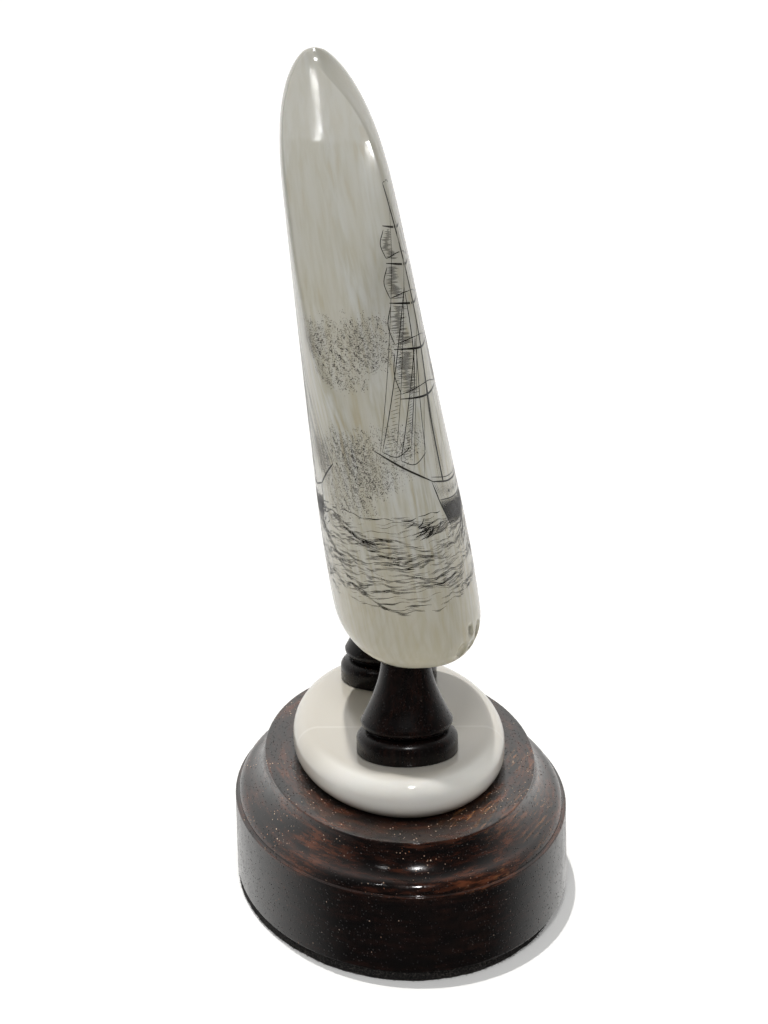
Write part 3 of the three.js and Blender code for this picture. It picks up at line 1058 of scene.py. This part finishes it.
class Picture:
    """A drawing board on the tooth: across runs 0 to 1 between two turns, up in millimetres."""

    def __init__(self, ink, first_turn, last_turn, water, top):
        self.ink = ink
        self.turns = (first_turn, last_turn)
        self.heights = (water, top)

    def at(self, place):
        place = np.asarray(place, float)
        turn = lerp(*self.turns, place[..., 0])
        return np.stack([turn, lerp(*self.heights, place[..., 1])], -1)

    def draw(self, path, *widths):
        self.ink.stroke(self.at(path), *widths)

    def line(self, *corners, width=0.14, taper=0.15, count=24):
        self.draw(curve(*corners, count=count), width, taper)

    def hatch(self, left, right, lines, width=0.09, gap=0.0):
        """Fills between two curves with lines that run from one to the other."""
        shares = np.linspace(0, 1, lines)
        starts, ends = (
            np.stack([
                np.interp(shares, np.linspace(0, 1, len(side)), side[:, axis]) for axis in range(2)
            ], -1)
            for side in (left, right)
        )
        for start, end in zip(starts, ends):
            near = lerp(start, end, gap * random.uniform(0, 1))
            far = lerp(end, start, gap * random.uniform(0, 1))
            self.draw([near, far], width, 0.3)

    def mast(self, foot, head, width=0.45):
        self.draw([foot, head], 0.16, 0.01, width)

    def yard(self, middle, half, height, tip_lift=0.004, width=0.32):
        left = (middle - half, height + tip_lift)
        right = (middle + half, height + tip_lift)
        self.line(left, (middle, height), right, width=width, taper=0.3)

    def square_sail(self, middle, upper_half, upper, lower_half, lower, shade):
        """A sail between two yards, full of wind, with shading down its left side."""
        bulge = 0.012
        left, right = (
            curve(
                (middle + side * upper_half, upper),
                (middle + side * lower_half - bulge, (upper + lower) / 2),
                (middle + side * lower_half, lower), count=14)
            for side in (-1, 1)
        )
        foot = curve(
            (middle - lower_half, lower), (middle, lower + 0.018), (middle + lower_half, lower),
            count=14)
        for edge in (left, right, foot):
            self.draw(edge, 0.12, 0.1)
        inner = lerp(left, right, shade)
        self.hatch(left, inner, int(abs(upper - lower) * 420), 0.07, 0.45)


    def hull_ends(self, deck, keel, stem, stern):
        for end, bend in ((0, stem), (-1, stern)):
            self.line(deck[end], (bend, 0.07), keel[end], width=0.22)

    def jib(self, edges, shade, lines):
        """A sail in front of the masts, its stay and leech named first, shaded along its stay."""
        for edge in edges:
            self.draw(edge, 0.12, 0.1)
        self.hatch(edges[0], lerp(edges[0], edges[1], shade), lines, 0.06, 0.4)


def square_rigged_ship(picture):
    """A ship with three masts seen from the side, her bowsprit at 0 and her stern at 1."""
    deck = curve((0.20, 0.135), (0.34, 0.112), (0.56, 0.100), (0.80, 0.116), (0.985, 0.158))
    rail = deck + np.array([0.0, 0.012])
    keel = curve((0.265, 0.0), (0.45, -0.006), (0.70, -0.006), (0.945, 0.004))
    wale = curve((0.225, 0.080), (0.36, 0.064), (0.56, 0.055), (0.80, 0.068), (0.97, 0.105))
    picture.draw(deck, 0.24, 0.05)
    picture.draw(rail, 0.12, 0.05)
    picture.draw(wale, 0.16, 0.05)
    picture.hull_ends(deck, keel, 0.225, 0.965)
    picture.hatch(wale, keel, 120, 0.17, 0.06)
    picture.hatch(deck, wale, 60, 0.07, 0.3)
    for share in np.linspace(0.12, 0.90, 11):
        middle = lerp(0.22, 0.97, share)
        level = np.interp(middle, wale[:, 0], wale[:, 1]) + 0.020
        gunport = (middle - 0.006, level), (middle + 0.006, level)
        picture.line(*gunport, width=0.55, taper=0.01, count=4)
    picture.line((0.215, 0.130), (0.10, 0.182), (0.0, 0.235), width=0.30, taper=0.3)
    masts = ((0.275, 0.118, 0.93, 1.15), (0.545, 0.102, 1.0, 1.1), (0.775, 0.116, 0.84, 0.85))
    levels = (0.30, 0.46, 0.61, 0.74, 0.86)
    halves = (0.125, 0.112, 0.094, 0.074, 0.054)
    for foot_place, foot_height, head, breadth in masts:
        picture.mast((foot_place, foot_height), (foot_place - 0.004, head))
        reach = head - foot_height
        yards = [foot_height + reach * level for level in levels]
        for height, half in zip(yards, halves):
            picture.yard(foot_place, half * breadth, height)
        for number in range(4):
            picture.square_sail(
                foot_place, halves[number + 1] * breadth, yards[number + 1] - 0.006,
                halves[number] * breadth * 0.94, yards[number] + 0.016, 0.35)
        for offset in (-0.030, -0.018, 0.018, 0.030):
            shroud = (foot_place + offset, foot_height), (foot_place, foot_height + reach * 0.40)
            picture.line(*shroud, width=0.06)
        picture.line((foot_place + 0.10, foot_height + 0.02), (foot_place, head - 0.02), width=0.06)
        # a pennant
        picture.line(
            (foot_place - 0.004, head), (foot_place + 0.03, head + 0.006),
            (foot_place + 0.055, head - 0.004))
    fore, main, mizzen = masts
    for share, height in ((0.02, 0.88), (0.07, 0.74), (0.13, 0.58), (0.17, 0.44)):
        picture.line((share, 0.235 - share * 0.48), (fore[0], height), width=0.07)
    for share, low, high in ((0.03, 0.26, 0.66), (0.09, 0.235, 0.52)):
        stay = curve((share, low - 0.03), (fore[0] - 0.03, high), count=12)
        leech = curve(
            (share + 0.11, low - 0.02), (fore[0] - 0.055, (low + high) / 2), (fore[0] - 0.03, high),
            count=12)
        foot = curve(stay[0], (share + 0.05, low - 0.045), leech[0], count=10)
        picture.jib((stay, leech, foot), 0.45, 46)
    stays = ((fore, 0.50, main, 0.84), (fore, 0.13, main, 0.50),
             (main, 0.13, mizzen, 0.46), (main, 0.46, mizzen, 0.74))
    for front, low, behind, high in stays:
        picture.line((front[0], low), (behind[0], high), width=0.06)
    gaff = curve((mizzen[0], 0.36), (0.94, 0.45), count=12)
    boom = curve((mizzen[0], 0.17), (1.0, 0.185), count=12)
    for spar in (gaff, boom):
        picture.draw(spar, 0.22, 0.2)
    picture.line((0.94, 0.45), (0.975, 0.32), (1.0, 0.185), width=0.12)
    picture.hatch(gaff, boom, 26, 0.06, 0.25)


def two_masted_boat(picture):
    """A fore-and-aft rigged boat seen from the side, her bowsprit at 0 and her stern at 1."""
    deck = curve((0.20, 0.16), (0.40, 0.12), (0.70, 0.11), (0.97, 0.15))
    keel = curve((0.27, 0.0), (0.55, -0.01), (0.90, 0.01))
    picture.draw(deck, 0.24, 0.05)
    picture.hull_ends(deck, keel, 0.225, 0.94)
    picture.hatch(lerp(deck, keel, 0.3), keel, 90, 0.16, 0.08)
    picture.line((0.21, 0.155), (0.0, 0.27), width=0.28)
    for foot_place, head, end in ((0.40, 0.88, 0.62), (0.66, 1.0, 0.99)):
        picture.mast((foot_place, 0.12), (foot_place + 0.01, head))
        gaff = curve((foot_place + 0.01, head * 0.72), (end - 0.05, head * 0.86), count=12)
        boom = curve((foot_place, 0.19), (end, 0.20), count=12)
        for spar in (gaff, boom):
            picture.draw(spar, 0.24, 0.2)
        leech = curve(gaff[-1], (end + 0.005, head * 0.5), boom[-1], count=12)
        picture.draw(leech, 0.12, 0.1)
        picture.hatch(gaff, boom, 30, 0.06, 0.5)
        for offset in (-0.03, -0.015, 0.02):
            picture.line((foot_place + offset, 0.12), (foot_place + 0.01, head * 0.72), width=0.06)
    for share, height in ((0.0, 0.86), (0.06, 0.70), (0.12, 0.55)):
        picture.line((share, 0.27 - share * 0.5), (0.40, height), width=0.08)
    for share, low, high in ((0.02, 0.26, 0.66), (0.09, 0.22, 0.50)):
        stay = curve((share, low), (0.37, high), count=12)
        leech = curve((share + 0.18, low - 0.02), (0.34, (low + high) / 2), (0.37, high), count=12)
        picture.jib((stay, leech), 0.5, 40)


def make_ships(chart, material):
    right = Ink(chart)
    square_rigged_ship(Picture(right, -0.035, 0.80, 32.0, 116.0))
    right.make("engraved_ship", material)
    left = Ink(chart)
    two_masted_boat(Picture(left, -0.20, -0.80, 30.5, 92.0))
    left.make("engraved_boat", material)


# Stage and light

floor_half_size = 4000.0
floor_glow = 0.22
sky_front = 0.06  # the studio is dark behind the camera
sky_back = 0.85  # and has a white backdrop behind the tooth
sky_edges = (-0.3, 0.8)  # it brightens between these shares of +Y in a direction
overhead_direction = Vector((-0.08, 0.19, 0.98))
overhead_strength = 1.95
overhead_spread = math.radians(1.2)
overhead_colour = (1.0, 0.985, 0.96)
lit_place = Vector((-0.01, 0, 0.12))
lamp_distance = 1.4
# Each lamp has a direction from the tooth, a width and height in metres, and a power in watts
lamps = {
    "window": (Vector((-0.04, -0.60, 0.74)), 0.30, 0.30, 5.2),
    "spark": (Vector((0.0, -0.53, 0.79)), 0.09, 0.09, 8.0),
    "strip": (Vector((-0.52, -0.33, 0.79)), 0.010, 0.20, 0.8),
}
gleaming = ("spark", "strip")  # these show in the polish alone, the others never do


def make_light(name, kind, direction, **settings):
    lamp = bpy.data.lights.new(name, kind)
    for setting, value in settings.items():
        setattr(lamp, setting, value)
    away = direction.normalized()
    light = add_object(name, lamp)
    light.rotation_mode = "QUATERNION"
    light.rotation_quaternion = (-away).to_track_quat("-Z", "Y")
    light.location = lit_place + away * lamp_distance
    light.visible_diffuse = name not in gleaming
    light.visible_glossy = name in gleaming


def make_stage(material):
    corner = floor_half_size
    points = [(-corner, -corner, 0), (corner, -corner, 0), (corner, corner, 0), (-corner, corner, 0)]
    floor = link_mesh("floor", np.array(points), [[0, 1, 2, 3]], material)
    floor.visible_glossy = False  # the polish mirrors the dark studio in front instead
    bpy.context.scene.view_settings.view_transform = "Standard"


def make_sky():
    nodes = Nodes("studio", bpy.data.worlds, "Background", "Generated")
    strength = nodes.span(nodes.axis("Y"), *sky_edges, sky_front, sky_back)
    bpy.context.scene.world = nodes.finish(Color=tone(1.0, 0.99, 0.97), Strength=strength)


def make_lights():
    make_light(
        "overhead", "SUN", overhead_direction,
        energy=overhead_strength, angle=overhead_spread, color=overhead_colour)
    for name, (direction, width, height, power) in lamps.items():
        make_light(
            name, "AREA", direction, shape="RECTANGLE", size=width, size_y=height, energy=power)


make_camera()
make_stage(floor_paper())
make_sky()
make_lights()
make_felt(black_felt("felt", 0.014), black_felt("felt_fluff", 0.18))
make_base(base_wood())
make_plate(plate_ivory())
turned_wood = pillar_wood()
for pillar_node in ("front_pillar", "rear_pillar"):
    make_pillar(pillar_node, turned_wood)
surface = Chart(make_tooth(tooth_ivory()))
ink_material = engraver_ink("engraving_ink", 0.006, 0.045)
make_clouds(surface, engraver_ink("stippling_ink", 0.045, 0.15))
make_sea(surface, ink_material)
make_ships(surface, ink_material)
